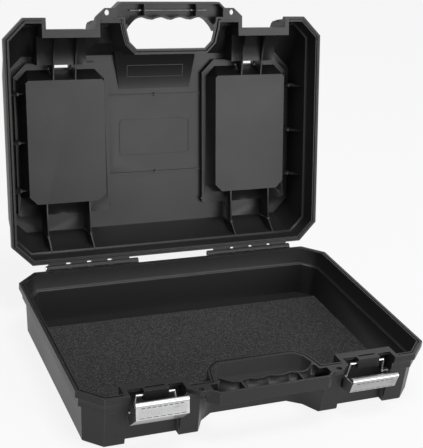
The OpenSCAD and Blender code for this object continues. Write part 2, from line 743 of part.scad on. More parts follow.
// ---------- draw latches ----------
// A bail, drawn with its rod on the X axis and its legs towards -Z
module bail_shape() {
    lean = bail_splay - bail_half;
    leg = norm([lean, bail_leg]);
    elbow_r = bail_r + 0.05;
    rod_x(-bail_half, bail_half, 0, 0, bail_r);
    for (s = [-1, 1]) {
        translate([s * bail_half, 0, 0]) {
            sphere(r = elbow_r, $fn = fine);
            rotate([0, s * -atan(lean / bail_leg), 0])
                translate([0, 0, -leg]) cylinder(h = leg, r = bail_r, $fn = fine);
        }
        translate([s * bail_splay, 0, -bail_leg]) sphere(r = elbow_r, $fn = fine);
        rod_x(min(s * bail_splay, s * (lever_half + 0.8)), max(s * bail_splay, s * (lever_half + 0.8)),
              0, -bail_leg, bail_r);
    }
}
// Turn that brings a bail's legs from straight down to a given angle about +X
module bail_at(side, angle) {
    translate([side * latch_x, rod_y, rod_z]) rotate([angle - 270, 0, 0]) bail_shape();
}
function unit(v) = v / norm(v);
// Offsets an open path to its left by d, with mitred corners
function path_offset(p, d) = [for (i = [0:len(p) - 1])
    let(a = i > 0 ? unit(p[i] - p[i - 1]) : unit(p[1] - p[0]),
        b = i < len(p) - 1 ? unit(p[i + 1] - p[i]) : a,
        n = unit([-a[1] - b[1], a[0] + b[0]]))
    p[i] + n * d / (n * [-a[1], a[0]])];
roll_arc = [for (a = [0:15:150]) hook_top + [-roll_r, -roll_r] + roll_r * [cos(a), sin(a)]];
lever_path = concat([hook_tip], roll_arc, [lever_knee, lever_foot, lever_foot + [1.6, -2.6]]);
module lever_shape() {
    inner_path = path_offset(lever_path, lever_t);
    side_plate(-lever_half, lever_half,
               concat(lever_path, [for (i = [len(inner_path) - 1:-1:0]) inner_path[i]]));
    for (s = [-1, 1]) {
        x0 = s > 0 ? lever_half - lever_t : -lever_half;
        difference() {
            union() {
                rod_x(x0, x0 + lever_t, 0, 0, ear_r);
                side_plate(x0, x0 + lever_t, [[3, -2.6], [3.5, 2], hook_top + [-5.5, -3.2],
                    lever_knee + [0.4, -0.5], lever_foot + [0.4, 0.5], [-6, -6]]);
            }
            rod_x(x0 - 1, x0 + lever_t + 1, 0, 0, bail_r + bore_gap);
        }
    }
}
module lever_at(side, angle, tilt) {
    translate([side * latch_x, rod_y + bail_leg * cos(angle), rod_z + bail_leg * sin(angle)])
        rotate([tilt, 0, 0]) lever_shape();
}

// ---------- organiser ----------
// Outline of a cover, d in from its edge; its back edge is the hinge's axis
function cover_plate(d) = cut_box(frame_x0 + wall + cover_gap + d, frame_x1 - wall - cover_gap - d,
                                  frame_y0 + wall + cover_gap + d, barrel_y - d, frame_cut - 1 - d/2, 0.4);
module cover_shape() {
    difference() {
        union() {
            difference() {
                slab(ledge_out + 0.3, cover_top, cover_plate(0));
                slab(ledge_out - 1, cover_top - cover_skin, cover_plate(cover_skirt));
            }
            rod_x(frame_x0 + wall + cover_gap, frame_x1 - wall - cover_gap, barrel_y, barrel_t, barrel_r);
            // Rails that carry the catch under the skin
            for (s = [-1, 1]) {
                cross_plate(catch_y + 1, catch_y + 15, [
                    [latch_x + s * (catch_half + 0.3), cover_top - 1],
                    [latch_x + s * (catch_half + 0.3), catch_t - 2.7],
                    [latch_x + s * (catch_half - 1.7), catch_t - 2.7],
                    [latch_x + s * (catch_half - 1.7), catch_t - 3.7],
                    [latch_x + s * (catch_half + 2.3), catch_t - 3.7],
                    [latch_x + s * (catch_half + 2.3), cover_top - 1]]);
            }
            // Low raised field on top, clear of the catch's knob
            difference() {
                slab(cover_top - 1, cover_top + 0.8, cover_plate(9));
                block([latch_x - 12, frame_y0, cover_top], [latch_x + 12, catch_y + 15, cover_top + 2]);
            }
        }
        block([latch_x - 12.5, frame_y0 - 5, ledge_out - 1],
              [latch_x + 12.5, catch_y + 0.4, cover_top + 2]);
        block([latch_x - catch_neck - 0.3, catch_y, catch_t - 0.5],
              [latch_x + catch_neck + 0.3, catch_y + 9.9, cover_top + 2]);
        rod_x(frame_x0, frame_x1, barrel_y, barrel_t, small_pin_r + bore_gap);
    }
}
// Sliding catch: bolt under the skin, neck through it, knob on top
module catch_shape() {
    bolt_t = 2.4;
    block([latch_x - catch_half, catch_y, catch_t - bolt_t],
          [latch_x + catch_half, catch_y + 14, catch_t]);
    block([latch_x - catch_neck, catch_y + 4, catch_t - 1],
          [latch_x + catch_neck, catch_y + 9.6, cover_top + 1]);
    side_plate(latch_x - 9, latch_x + 9, [
        [catch_y + 2.5, cover_top + 0.3], [catch_y + 12.5, cover_top + 0.3],
        [catch_y + 12.5, cover_top + 1.2], [catch_y + 9, cover_top + 1.6], [catch_y + 7.5, cover_top + 3],
        [catch_y + 6, cover_top + 1.6], [catch_y + 2.5, cover_top + 1.2]]);
}
module divider_shape(y) {
    foot_t = well_in + wall + 0.3;
    top_t = ledge_out - 2;
    rise = (top_t - foot_t) / well_depth;
    gap = 0.6;
    x0 = frame_x0 + well_floor_inset[0] + wall + gap;
    x1 = frame_x1 - well_floor_inset[1] - wall - gap;
    cross_plate(y - divider_t/2, y + divider_t/2, [
        [x0, foot_t], [x1, foot_t],
        [x1 + (well_floor_inset[1] - well_top_inset[1]) * rise - gap/2, top_t],
        [x0 - (well_floor_inset[0] - well_top_inset[0]) * rise + gap/2, top_t]]);
}
module organizer_part(side, tint) {
    color(tint) in_open_lid() mirror([side < 0 ? 1 : 0, 0, 0]) children();
}

base_shell();
foam_pad();
lid_shell();
hinge_pin(-1);  // hinge_pin_left
hinge_pin(1);  // hinge_pin_right
color(plated_steel) bail_at(-1, bail_rest_left);  // latch_bail_left
color(plated_steel) bail_at(1, bail_rest_right);  // latch_bail_right
color(plated_steel) lever_at(-1, bail_rest_left, lever_tilt_left);  // latch_lever_left
color(plated_steel) lever_at(1, bail_rest_right, lever_tilt_right);  // latch_lever_right
organizer_part(-1, cover_black) cover_shape();  // organizer_cover_left
organizer_part(1, cover_black) cover_shape();  // organizer_cover_right
organizer_part(-1, plated_steel)  // organizer_hinge_pin_left
    rod_x(frame_x0 + 0.2, frame_x1 - 0.2, barrel_y, barrel_t, small_pin_r);
organizer_part(1, plated_steel)  // organizer_hinge_pin_right
    rod_x(frame_x0 + 0.2, frame_x1 - 0.2, barrel_y, barrel_t, small_pin_r);
organizer_part(-1, divider_grey) catch_shape();  // organizer_catch_left
organizer_part(1, divider_grey) catch_shape();  // organizer_catch_right
organizer_part(-1, divider_grey) divider_shape(divider_y[0]);  // organizer_divider_left_front
organizer_part(-1, divider_grey) divider_shape(divider_y[1]);  // organizer_divider_left_back
organizer_part(1, divider_grey) divider_shape(divider_y[0]);  // organizer_divider_right_front
organizer_part(1, divider_grey) divider_shape(divider_y[1]);  // organizer_divider_right_back
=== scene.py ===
import bmesh
import bpy
import json
import math
from mathutils import Matrix, Vector, noise


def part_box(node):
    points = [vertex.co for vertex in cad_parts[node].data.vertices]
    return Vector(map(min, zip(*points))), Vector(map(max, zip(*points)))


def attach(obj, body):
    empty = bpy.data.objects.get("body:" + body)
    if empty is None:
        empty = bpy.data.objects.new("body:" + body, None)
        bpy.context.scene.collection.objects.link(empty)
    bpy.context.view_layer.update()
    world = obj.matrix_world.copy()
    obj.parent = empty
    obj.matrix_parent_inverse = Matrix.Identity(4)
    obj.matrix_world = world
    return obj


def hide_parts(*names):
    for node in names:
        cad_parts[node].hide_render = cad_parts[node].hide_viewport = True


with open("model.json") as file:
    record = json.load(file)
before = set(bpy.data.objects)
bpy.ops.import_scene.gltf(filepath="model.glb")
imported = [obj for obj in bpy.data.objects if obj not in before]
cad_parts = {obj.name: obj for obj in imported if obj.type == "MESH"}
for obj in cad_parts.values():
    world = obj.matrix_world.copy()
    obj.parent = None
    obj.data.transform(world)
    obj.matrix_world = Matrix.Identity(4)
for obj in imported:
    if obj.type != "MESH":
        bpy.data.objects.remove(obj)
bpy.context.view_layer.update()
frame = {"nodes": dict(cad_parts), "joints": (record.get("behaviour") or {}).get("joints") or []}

scene = bpy.context.scene
joints = {joint["name"]: joint for joint in frame["joints"]}

# Angles in degrees, lengths in metres, the sensor in millimetres, and pixels of the 423 by 448 frame
camera = {
    "azimuth": -26.234,
    "elevation": 24.571,
    "roll": 5.8995,
    "distance": 1.6704,
    "target": (0.17654, 0.27593, 0.00153),
    "focalPixels": 1103.55,
    "centrePixels": (253.70, 253.68),
    "framePixels": (423, 448),
    "sensor": 36.0,
    "clipEnd": 50.0,
}


def makeCamera(view):
    azimuth, elevation, roll = (math.radians(view[key]) for key in ("azimuth", "elevation", "roll"))
    level = math.cos(elevation)
    back = Vector((math.sin(azimuth) * level, -math.cos(azimuth) * level, math.sin(elevation)))
    right = Vector((0, 0, 1)).cross(back).normalized()
    up = back.cross(right)
    rolledRight = math.cos(roll) * right + math.sin(roll) * up
    rolledUp = -math.sin(roll) * right + math.cos(roll) * up
    width, height = view["framePixels"]
    longSide = max(width, height)
    data = bpy.data.cameras.new("camera")
    data.sensor_width = view["sensor"]
    data.lens = view["focalPixels"] * view["sensor"] / longSide
    data.shift_x = (width / 2 - view["centrePixels"][0]) / longSide
    data.shift_y = (view["centrePixels"][1] - height / 2) / longSide
    data.clip_end = view["clipEnd"]
    obj = bpy.data.objects.new("camera", data)
    place = Matrix((rolledRight, rolledUp, back)).transposed().to_4x4()
    place.translation = Vector(view["target"]) + back * view["distance"]
    obj.matrix_world = place
    scene.collection.objects.link(obj)
    scene.camera = obj


makeCamera(camera)
print("camera placed")


def newGroup(name, kind, inputs, outputs):
    # inputs and outputs: socket name -> kind of socket, such as Float or Color
    group = bpy.data.node_groups.new(name, kind)
    for direction, sockets in (("INPUT", inputs), ("OUTPUT", outputs)):
        for label, socket in sockets.items():
            group.interface.new_socket(label, in_out=direction, socket_type="NodeSocket" + socket)
    return group, group.nodes.new("NodeGroupInput"), group.nodes.new("NodeGroupOutput")


def addNode(tree, kind, links, **settings):
    # links: socket name or number -> an output socket or a plain value
    node = tree.nodes.new(kind)
    for key, value in settings.items():
        setattr(node, key, value)
    for key, value in links.items():
        if isinstance(value, bpy.types.NodeSocket):
            tree.links.new(value, node.inputs[key])
        else:
            node.inputs[key].default_value = value
    return node


def maths(tree, operation, a, b, clamp=False):
    return addNode(tree, "ShaderNodeMath", {0: a, 1: b}, operation=operation, use_clamp=clamp).outputs[0]


def remap(tree, value, band, low, high):
    # Turns the values across the band into low to high, and holds them there outside it
    links = {"Value": value, "From Min": band[0], "From Max": band[1], "To Min": low, "To Max": high}
    return addNode(tree, "ShaderNodeMapRange", links).outputs["Result"]


def addNoise(tree, vector, scale, detail):
    links = {"Vector": vector, "Scale": scale, "Detail": detail}
    return addNode(tree, "ShaderNodeTexNoise", links).outputs[0]


def stretched(tree, vector, scale, turn=(0, 0, 0)):
    links = {"Vector": vector, "Scale": scale, "Rotation": turn}
    return addNode(tree, "ShaderNodeMapping", links).outputs[0]


def mixColours(tree, factor, first, second):
    # Sockets 6 and 7 are the mix node's two colours, and output 2 is the colour between them
    links = {"Factor": factor, 6: first, 7: second}
    return addNode(tree, "ShaderNodeMix", links, data_type="RGBA").outputs[2]


# Noise scales are per metre, and each band is the part of a noise's 0 to 1 that is used
mouldGrainLook = {"softScale": 210.0, "softDetail": 3.0}


def makeMouldGrain(look):
    # Fine leather-like grain of a moulding, with a coarser swell under it
    tree, ins, outs = newGroup("mouldGrain", "ShaderNodeTree",
                               {"Vector": "Vector", "Scale": "Float", "Coarse": "Float"},
                               {"Height": "Float"})
    vector = ins.outputs["Vector"]
    cells = addNode(tree, "ShaderNodeTexVoronoi", {"Vector": vector, "Scale": ins.outputs["Scale"]},
                    feature="SMOOTH_F1")
    soft = addNoise(tree, vector, look["softScale"], look["softDetail"])
    coarse = maths(tree, "MULTIPLY", soft, ins.outputs["Coarse"])
    tree.links.new(maths(tree, "ADD", cells.outputs["Distance"], coarse), outs.inputs["Height"])
    return tree


handlingLook = {
    "driftScale": 13.0,
    "driftDetail": 4.0,
    "driftBand": (0.38, 0.68),
    "scuffStretch": (60, 240, 240),
    "scuffTurn": (0.3, 0.5, 0.4),
    "scuffDetail": 5.0,
    "scuffBand": (0.6, 0.74),
}


def makeHandling(look):
    # Slow drift of tone from base to rubbed, with fine scuffs
    tree, ins, outs = newGroup("handling", "ShaderNodeTree",
                               {"Vector": "Vector", "Base": "Color", "Rubbed": "Color", "Amount": "Float"},
                               {"Color": "Color", "Rub": "Float"})
    vector = ins.outputs["Vector"]
    drift = addNoise(tree, vector, look["driftScale"], look["driftDetail"])
    scuff = addNoise(tree, stretched(tree, vector, look["scuffStretch"], look["scuffTurn"]), 1.0,
                     look["scuffDetail"])
    patches = remap(tree, drift, look["driftBand"], 0.0, 1.0)
    lines = remap(tree, scuff, look["scuffBand"], 0.0, 1.0)
    rub = maths(tree, "MULTIPLY", maths(tree, "ADD", patches, lines), ins.outputs["Amount"], clamp=True)
    colour = mixColours(tree, rub, ins.outputs["Base"], ins.outputs["Rubbed"])
    tree.links.new(colour, outs.inputs["Color"])
    tree.links.new(rub, outs.inputs["Rub"])
    return tree


# The edge colour of the mouldings is a light grey: painted highlight of the rounded edges, with some edge
# wear
edgeWearAndHighlightLook = {"scale": 120.0, "detail": 4.0, "band": (0.3, 0.6), "least": 0.35}


def makeEdgeWearAndHighlight(look):
    # How much of the light grey edge colour a face gets, mostly painted highlight with some edge wear,
    # broken up so that it looks rubbed on and not drawn
    tree, ins, outs = newGroup("edgeWearAndHighlight", "ShaderNodeTree",
                               {"Vector": "Vector", "Amount": "Float"}, {"Edge": "Float"})
    broken = addNoise(tree, ins.outputs["Vector"], look["scale"], look["detail"])
    wearAndHighlight = remap(tree, broken, look["band"], look["least"], 1.0)
    tree.links.new(maths(tree, "MULTIPLY", wearAndHighlight, ins.outputs["Amount"], clamp=True), outs.inputs["Edge"])
    return tree


mouldGrain = makeMouldGrain(mouldGrainLook)
handling = makeHandling(handlingLook)
edgeWearAndHighlight = makeEdgeWearAndHighlight(edgeWearAndHighlightLook)


def newMaterial(name, sockets):
    material = bpy.data.materials.new(name)
    material.use_nodes = True
    shader = material.node_tree.nodes["Principled BSDF"]
    for key, value in sockets.items():
        shader.inputs[key].default_value = value
    return material, material.node_tree, shader


def objectCoords(tree):
    return tree.nodes.new("ShaderNodeTexCoord").outputs["Object"]


def placeGroup(tree, group, links):
    return addNode(tree, "ShaderNodeGroup", links, node_tree=group)


def grey(value):
    return (value, value, value * 1.01, 1)  # a hundredth more blue


def placeHandling(tree, coords, look):
    links = {"Vector": coords, "Base": grey(look["base"]), "Rubbed": grey(look["rubbed"]),
             "Amount": look["handling"]}
    return placeGroup(tree, handling, links)


def addBump(tree, shader, height, strength, depth):
    bump = addNode(tree, "ShaderNodeBump", {"Height": height, "Strength": strength, "Distance": depth})
    tree.links.new(bump.outputs[0], shader.inputs["Normal"])


# Roughness goes from rubbed to untouched, and grain depths are in metres
plasticShared = {"handling": 0.35, "grainCoarse": 0.3, "grainStrength": 0.45}
# Share of the light grey edge colour, painted highlight with some edge wear, on plain faces and on rounded
# edges
plasticWearAndHighlight = {"faces": 0.005, "edges": 0.9}
plasticLooks = {
    "shellPlastic": {
        "base": 0.014, "rubbed": 0.019, "wearAndHighlight": 0.40, "specular": 0.34, "roughness": (0.36, 0.44),
        "grainScale": 950.0, "grainDepth": 0.00009, **plasticShared,
    },
    "coverPlastic": {
        "base": 0.019, "rubbed": 0.024, "wearAndHighlight": 0.20, "specular": 0.48, "roughness": (0.34, 0.40),
        "grainScale": 1100.0, "grainDepth": 0.00007, **plasticShared,
    },
    "dividerPlastic": {
        "base": 0.03, "rubbed": 0.04, "wearAndHighlight": 0.10, "specular": 0.36, "roughness": (0.42, 0.52),
        "grainScale": 1200.0, "grainDepth": 0.00006, **plasticShared,
    },
}


def makePlastic(name, look, wearAndHighlightAmount):
    material, tree, shader = newMaterial(name, {"Specular IOR Level": look["specular"]})
    coords = objectCoords(tree)
    grain = placeGroup(tree, mouldGrain, {"Vector": coords, "Scale": look["grainScale"],
                                          "Coarse": look["grainCoarse"]})
    tone = placeHandling(tree, coords, look)
    edge = placeGroup(tree, edgeWearAndHighlight, {"Vector": coords, "Amount": wearAndHighlightAmount})
    # Painted highlight with some edge wear: the light grey edge colour, where the edge mask is high
    colour = mixColours(tree, edge.outputs["Edge"], tone.outputs["Color"], grey(look["wearAndHighlight"]))
    tree.links.new(colour, shader.inputs["Base Color"])
    smooth, rough = look["roughness"]
    roughness = remap(tree, tone.outputs["Rub"], (0.0, 1.0), rough, smooth)
    tree.links.new(roughness, shader.inputs["Roughness"])
    addBump(tree, shader, grain.outputs["Height"], look["grainStrength"], look["grainDepth"])
    return material


# The lines run along x, so their scale is small that way; roughness goes from polished to dull
steelShared = {"handling": 0.7, "dullBand": (0.1, 0.8),
               "lineDetail": 3.0, "lineStrength": 0.25, "lineDepth": 0.00004}
steelLooks = {
    "zincSteel": {"base": 0.52, "rubbed": 0.34, "roughness": (0.24, 0.40), "lines": (14, 900, 900),
                  **steelShared},
    "pinSteel": {"base": 0.58, "rubbed": 0.42, "roughness": (0.22, 0.36), "lines": (10, 700, 700),
                 **steelShared},
}


def makeSteel(name, look):
    material, tree, shader = newMaterial(name, {"Metallic": 1.0})
    coords = objectCoords(tree)
    tone = placeHandling(tree, coords, look)
    lines = addNoise(tree, stretched(tree, coords, look["lines"]), 1.0, look["lineDetail"])
    tree.links.new(tone.outputs["Color"], shader.inputs["Base Color"])
    polished, dull = look["roughness"]
    mean = maths(tree, "MULTIPLY", maths(tree, "ADD", tone.outputs["Rub"], lines), 0.5)
    roughness = remap(tree, mean, look["dullBand"], polished, dull)
    tree.links.new(roughness, shader.inputs["Roughness"])
    addBump(tree, shader, lines, look["lineStrength"], look["lineDepth"])
    return material


paintedSlotShadeLook = {"base": 0.05, "rubbed": 0.12, "handling": 0.8, "metallic": 0.6, "roughness": (0.45, 0.6)}


def makePaintedSlotShade(name, look):
    # Dark steel for the slots and the seam of the pressed pattern: painted shade of their recesses
    material, tree, shader = newMaterial(name, {"Metallic": look["metallic"]})
    tone = placeHandling(tree, objectCoords(tree), look)
    tree.links.new(tone.outputs["Color"], shader.inputs["Base Color"])
    roughness = remap(tree, tone.outputs["Rub"], (0.0, 1.0), *look["roughness"])
    tree.links.new(roughness, shader.inputs["Roughness"])
    return material


foamLook = {
    "base": 0.034, "rubbed": 0.051, "handling": 0.5,
    "speck": 0.11, "speckBand": (0.52, 0.68),
    "pit": 0.010, "pitBand": (0.44, 0.34),  # runs down, since the pits are where the noise is low
    "speckScale": 620.0, "speckDetail": 2.0,
    "cellScale": 1500.0, "cellCoarse": 0.6, "cellStrength": 0.6, "cellDepth": 0.0003,
    "roughness": 0.93, "specular": 0.12, "sheen": 0.06, "sheenRoughness": 0.6,
}


def makeFoam(name, look):
    material, tree, shader = newMaterial(name, {
        "Roughness": look["roughness"], "Specular IOR Level": look["specular"],
        "Sheen Weight": look["sheen"], "Sheen Roughness": look["sheenRoughness"]})
    coords = objectCoords(tree)
    cells = placeGroup(tree, mouldGrain, {"Vector": coords, "Scale": look["cellScale"],
                                          "Coarse": look["cellCoarse"]})
    specks = addNoise(tree, coords, look["speckScale"], look["speckDetail"])
    flecks = remap(tree, specks, look["speckBand"], 0.0, 1.0)
    pits = remap(tree, specks, look["pitBand"], 0.0, 1.0)
    tone = placeHandling(tree, coords, look)
    light = mixColours(tree, flecks, tone.outputs["Color"], grey(look["speck"]))
    tree.links.new(mixColours(tree, pits, light, grey(look["pit"])), shader.inputs["Base Color"])
    addBump(tree, shader, cells.outputs["Height"], look["cellStrength"], look["cellDepth"])
    return material


# Finish name -> the material of its faces and the one of its rounded edges, whose light grey is painted
# highlight with some edge wear
finishes = {}
for name, look in plasticLooks.items():
    finishes[name] = (makePlastic(name, look, plasticWearAndHighlight["faces"]),
                      makePlastic(name + "Edge", look, plasticWearAndHighlight["edges"]))
for name, look in steelLooks.items():
    steel = makeSteel(name, look)
    finishes[name] = (steel, steel)
paintedSlotShade = makePaintedSlotShade("paintedSlotShade", paintedSlotShadeLook)
speckledFoam = makeFoam("speckledFoam", foamLook)
print("finishes made")

# Which edges of a copied shape are merged, rounded and kept sharp; lengths in metres
edgeWork = {
    "mergeDistance": 0.000004,
    "flatAngle": math.radians(0.6),
    "bevelAngle": math.radians(24),
    "smoothAngle": math.radians(32),
    "sharpAngle": math.radians(50),
    "segments": 2,
    "faceWeight": 100,  # how much large faces count in the normals at their corners
}


def linkPiece(name, mesh):
    obj = bpy.data.objects.new(name, mesh)
    scene.collection.objects.link(obj)
    return obj


def ringFaces(first, second, count):
    # Quads between two rings of points, from the number of each ring's first point
    return [(first + i, first + (i + 1) % count, second + (i + 1) % count, second + i) for i in range(count)]


def plainMesh(obj):
    # Turns the evaluated object into its own mesh, and drops its modifiers
    depsgraph = bpy.context.evaluated_depsgraph_get()
    mesh = bpy.data.meshes.new_from_object(obj.evaluated_get(depsgraph))
    obj.modifiers.clear()
    obj.data = mesh
    return obj


def refinePiece(node, name, body, slot, finish, radius):
    # The node's exact shape, with its outer edges rounded where it has a radius
    mesh = frame["nodes"][node].data.copy()
    work = bmesh.new()
    work.from_mesh(mesh)
    bmesh.ops.remove_doubles(work, verts=work.verts, dist=edgeWork["mergeDistance"])
    bmesh.ops.dissolve_limit(work, angle_limit=edgeWork["flatAngle"], verts=work.verts, edges=work.edges)
    for face in work.faces:
        face.smooth = True
    weight = work.edges.layers.float.new("bevel_weight_edge")
    for edge in work.edges:
        turn = edge.calc_face_angle(0)
        edge.smooth = turn < edgeWork["smoothAngle"]
        if turn > edgeWork["bevelAngle"] and edge.is_convex:
            edge[weight] = 1.0
    work.to_mesh(mesh)
    work.free()
    mesh.materials.clear()
    for material in finishes[finish]:
        mesh.materials.append(material)
    obj = linkPiece(name, mesh)
    if radius:
        bevel = obj.modifiers.new("round", "BEVEL")
        bevel.width = radius
        bevel.segments = edgeWork["segments"]
        bevel.limit_method = "WEIGHT"
        # The rounded edges get the material with the painted edge highlight
        bevel.material = 1  # the finish's second material
        plainMesh(obj)
        obj.data.set_sharp_from_angle(angle=edgeWork["sharpAngle"])
    even = obj.modifiers.new("even", "WEIGHTED_NORMAL")
    even.weight = edgeWork["faceWeight"]
    even.keep_sharp = True
    plainMesh(obj)
    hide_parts(node)
    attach(obj, body)


# Node, piece, body, slot, finish and edge radius in metres
shells = [
    ("base_shell", "baseMoulding", "base", "shell", "shellPlastic", 0.0008),
    ("lid_shell", "lidMoulding", "lid", "shell", "shellPlastic", 0.0008),
]
# The same for parts that come in pairs, after the two words that * stands for
sides, ends = ("left", "right"), ("front", "back")
pairedParts = [
    (sides, "organizer_cover_*", "cover*", "cover_*", "cover", "coverPlastic", 0.0004),
    (sides, "organizer_catch_*", "catch*", "catch_*", "divider", "dividerPlastic", 0.0003),
    (ends, "organizer_divider_left_*", "dividerLeft*", "lid", "divider", "dividerPlastic", 0.0003),
    (ends, "organizer_divider_right_*", "dividerRight*", "lid", "divider", "dividerPlastic", 0.0003),
    (sides, "latch_lever_*", "lever*", "lever_*", "latch", "zincSteel", 0.00025),
    (sides, "latch_bail_*", "bail*", "bail_*", "pin", "pinSteel", 0.0),
    (sides, "hinge_pin_*", "hingePin*", "base", "pin", "pinSteel", 0.0),
    (sides, "organizer_hinge_pin_*", "coverPin*", "lid", "pin", "pinSteel", 0.0),
]
for part in shells:
    refinePiece(*part)
for words, node, name, body, slot, finish, radius in pairedParts:
    for word in words:
        refinePiece(node.replace("*", word), name.replace("*", word.capitalize()),
                    body.replace("*", word), slot, finish, radius)
print("mouldings and metal parts refined")

# Foam sheet with pulled-in sides and a rippled top, and loose granules on it; lengths in metres
foamPad = {
    "mergeDistance": 0.00001,
    "flatAngle": 0.01,
    "upward": 0.9,  # a face looks up if its normal's z is over this
    "step": 0.006,  # between the outline's points, and between the cuts across the top
    # distance in from the outline and share of the thickness, from the underside up
    "sides": [(0.0011, 0.0), (0.0002, 0.25), (0.0006, 0.5), (0.0003, 0.66), (0.000385, 0.84)],
    "topInset": 0.0011,
    "topDrop": 0.0001,
    "cutShift": 0.37,  # of a step
    "cutTolerance": 0.000001,
    "ripple": 0.00035,
    "rippleScale": 26.0,
    "rippleLayer": 0.3,
    "granules": 3200,
    "granuleRadius": 0.0007,
    "granuleSmallest": 0.45,  # share of the radius
    "granuleHeight": 0.22,  # share of a full bead's height
    "seed": 11,
}


def padOutline(look):
    # The pad's corners, in order, with points between them about a step apart
    work = bmesh.new()
    work.from_mesh(frame["nodes"]["foam_pad"].data)
    bmesh.ops.remove_doubles(work, verts=work.verts, dist=look["mergeDistance"])
    bmesh.ops.dissolve_limit(work, angle_limit=look["flatAngle"], verts=work.verts, edges=work.edges)
    upward = [face for face in work.faces if face.normal.z > look["upward"]]
    top = max(upward, key=lambda face: face.calc_area())
    corners = [vert.co.copy() for vert in top.verts]
    work.free()
    points = []
    for start, end in zip(corners, corners[1:] + corners[:1]):
        count = max(1, round((end - start).length / look["step"]))
        points += [start.lerp(end, i / count) for i in range(count)]
    return points


def padRings(look, low, high):
    # Rings of points round the pad, from its underside up to its top, and the faces between them
    points = padOutline(look)
    count = len(points)
    inwards = []
    for i, point in enumerate(points):
        ahead, behind = points[(i + 1) % count], points[i - 1]
        along = ((ahead - point).normalized() + (point - behind).normalized()).normalized()
        inwards.append(Vector((-along.y, along.x, 0)))
    rings = [(inset, low.z + share * (high.z - low.z)) for inset, share in look["sides"]]
    rings.append((look["topInset"], high.z - look["topDrop"]))
    verts, faces = [], []
    for inset, z in rings:
        verts += [(p.x + n.x * inset, p.y + n.y * inset, z) for p, n in zip(points, inwards)]
    topFirst = len(verts) - count
    for first in range(0, topFirst, count):
        faces += ringFaces(first, first + count, count)
    faces += [tuple(range(topFirst, len(verts))), tuple(reversed(range(count)))]
    return verts, faces


def makeFoamPad(look, low, high):
    verts, faces = padRings(look, low, high)
    mesh = bpy.data.meshes.new("foamPadSoft")
    mesh.from_pydata(verts, [], faces)
    work = bmesh.new()
    work.from_mesh(mesh)
    # A grid of cuts gives the top points to ripple
    for axis in (0, 1):
        normal = Vector((1 - axis, axis, 0))
        for k in range(1, int((high[axis] - low[axis]) / look["step"])):
            at = normal * (low[axis] + (k + look["cutShift"]) * look["step"])
            everything = work.verts[:] + work.edges[:] + work.faces[:]
            bmesh.ops.bisect_plane(work, geom=everything, dist=look["cutTolerance"],
                                   plane_co=at, plane_no=normal)
    work.normal_update()
    for vert in work.verts:
        if all(face.normal.z > look["upward"] for face in vert.link_faces):
            wave = noise.noise(Vector((vert.co.x, vert.co.y, look["rippleLayer"])) * look["rippleScale"])
            vert.co.z -= look["ripple"] * (0.5 - 0.5 * wave)
    for face in work.faces:
        face.smooth = True
    work.to_mesh(mesh)
    work.free()
    mesh.materials.append(speckledFoam)
    return linkPiece("foamPadSoft", mesh)


def runTree(obj, tree, values):
    modifier = obj.modifiers.new(tree.name, "NODES")
    modifier.node_group = tree
    for item in tree.interface.items_tree:
        if item.in_out == "INPUT" and item.name in values:
            modifier[item.identifier] = values[item.name]
    return plainMesh(obj)


def makeGranuleTree():
    # Flattened beads, strewn over the faces that look up
    tree, ins, outs = newGroup("padGranules", "GeometryNodeTree", {
        "Geometry": "Geometry", "Density": "Float", "Radius": "Float", "Smallest": "Float",
        "Height": "Float", "Upward": "Float", "Seed": "Int", "Finish": "Material",
    }, {"Geometry": "Geometry"})
    normal = tree.nodes.new("GeometryNodeInputNormal")
    split = addNode(tree, "ShaderNodeSeparateXYZ", {0: normal.outputs[0]})
    upward = addNode(tree, "FunctionNodeCompare", {0: split.outputs["Z"], 1: ins.outputs["Upward"]},
                     data_type="FLOAT", operation="GREATER_THAN")
    scatter = addNode(tree, "GeometryNodeDistributePointsOnFaces", {
        "Mesh": ins.outputs["Geometry"], "Selection": upward.outputs[0], "Density": ins.outputs["Density"],
        "Seed": ins.outputs["Seed"]})
    bead = addNode(tree, "GeometryNodeMeshIcoSphere", {"Radius": ins.outputs["Radius"]})
    # Sockets 2 and 3 are the least and the most of a random float, and output 1 is its value
    size = addNode(tree, "FunctionNodeRandomValue", {
        2: ins.outputs["Smallest"], 3: 1.0, "Seed": ins.outputs["Seed"]}, data_type="FLOAT").outputs[1]
    flat = addNode(tree, "ShaderNodeCombineXYZ", {0: size, 1: size, 2: ins.outputs["Height"]})
    place = addNode(tree, "GeometryNodeInstanceOnPoints", {
        "Points": scatter.outputs["Points"], "Instance": bead.outputs[0], "Scale": flat.outputs[0]})
    real = addNode(tree, "GeometryNodeRealizeInstances", {0: place.outputs[0]})
    finish = addNode(tree, "GeometryNodeSetMaterial", {
        "Geometry": real.outputs[0], "Material": ins.outputs["Finish"]})
    tree.links.new(finish.outputs[0], outs.inputs[0])
    return tree


padLow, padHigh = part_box("foam_pad")
padArea = (padHigh.x - padLow.x) * (padHigh.y - padLow.y)
padSoft = makeFoamPad(foamPad, padLow, padHigh)
padGranules = linkPiece("padGranules", padSoft.data.copy())
runTree(padGranules, makeGranuleTree(), {
    "Density": foamPad["granules"] / padArea, "Radius": foamPad["granuleRadius"],
    "Smallest": foamPad["granuleSmallest"], "Height": foamPad["granuleHeight"],
    "Upward": foamPad["upward"], "Seed": foamPad["seed"], "Finish": speckledFoam})
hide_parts("foam_pad")
for piece in (padSoft, padGranules):
    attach(piece, "base")
print("foam pad made")

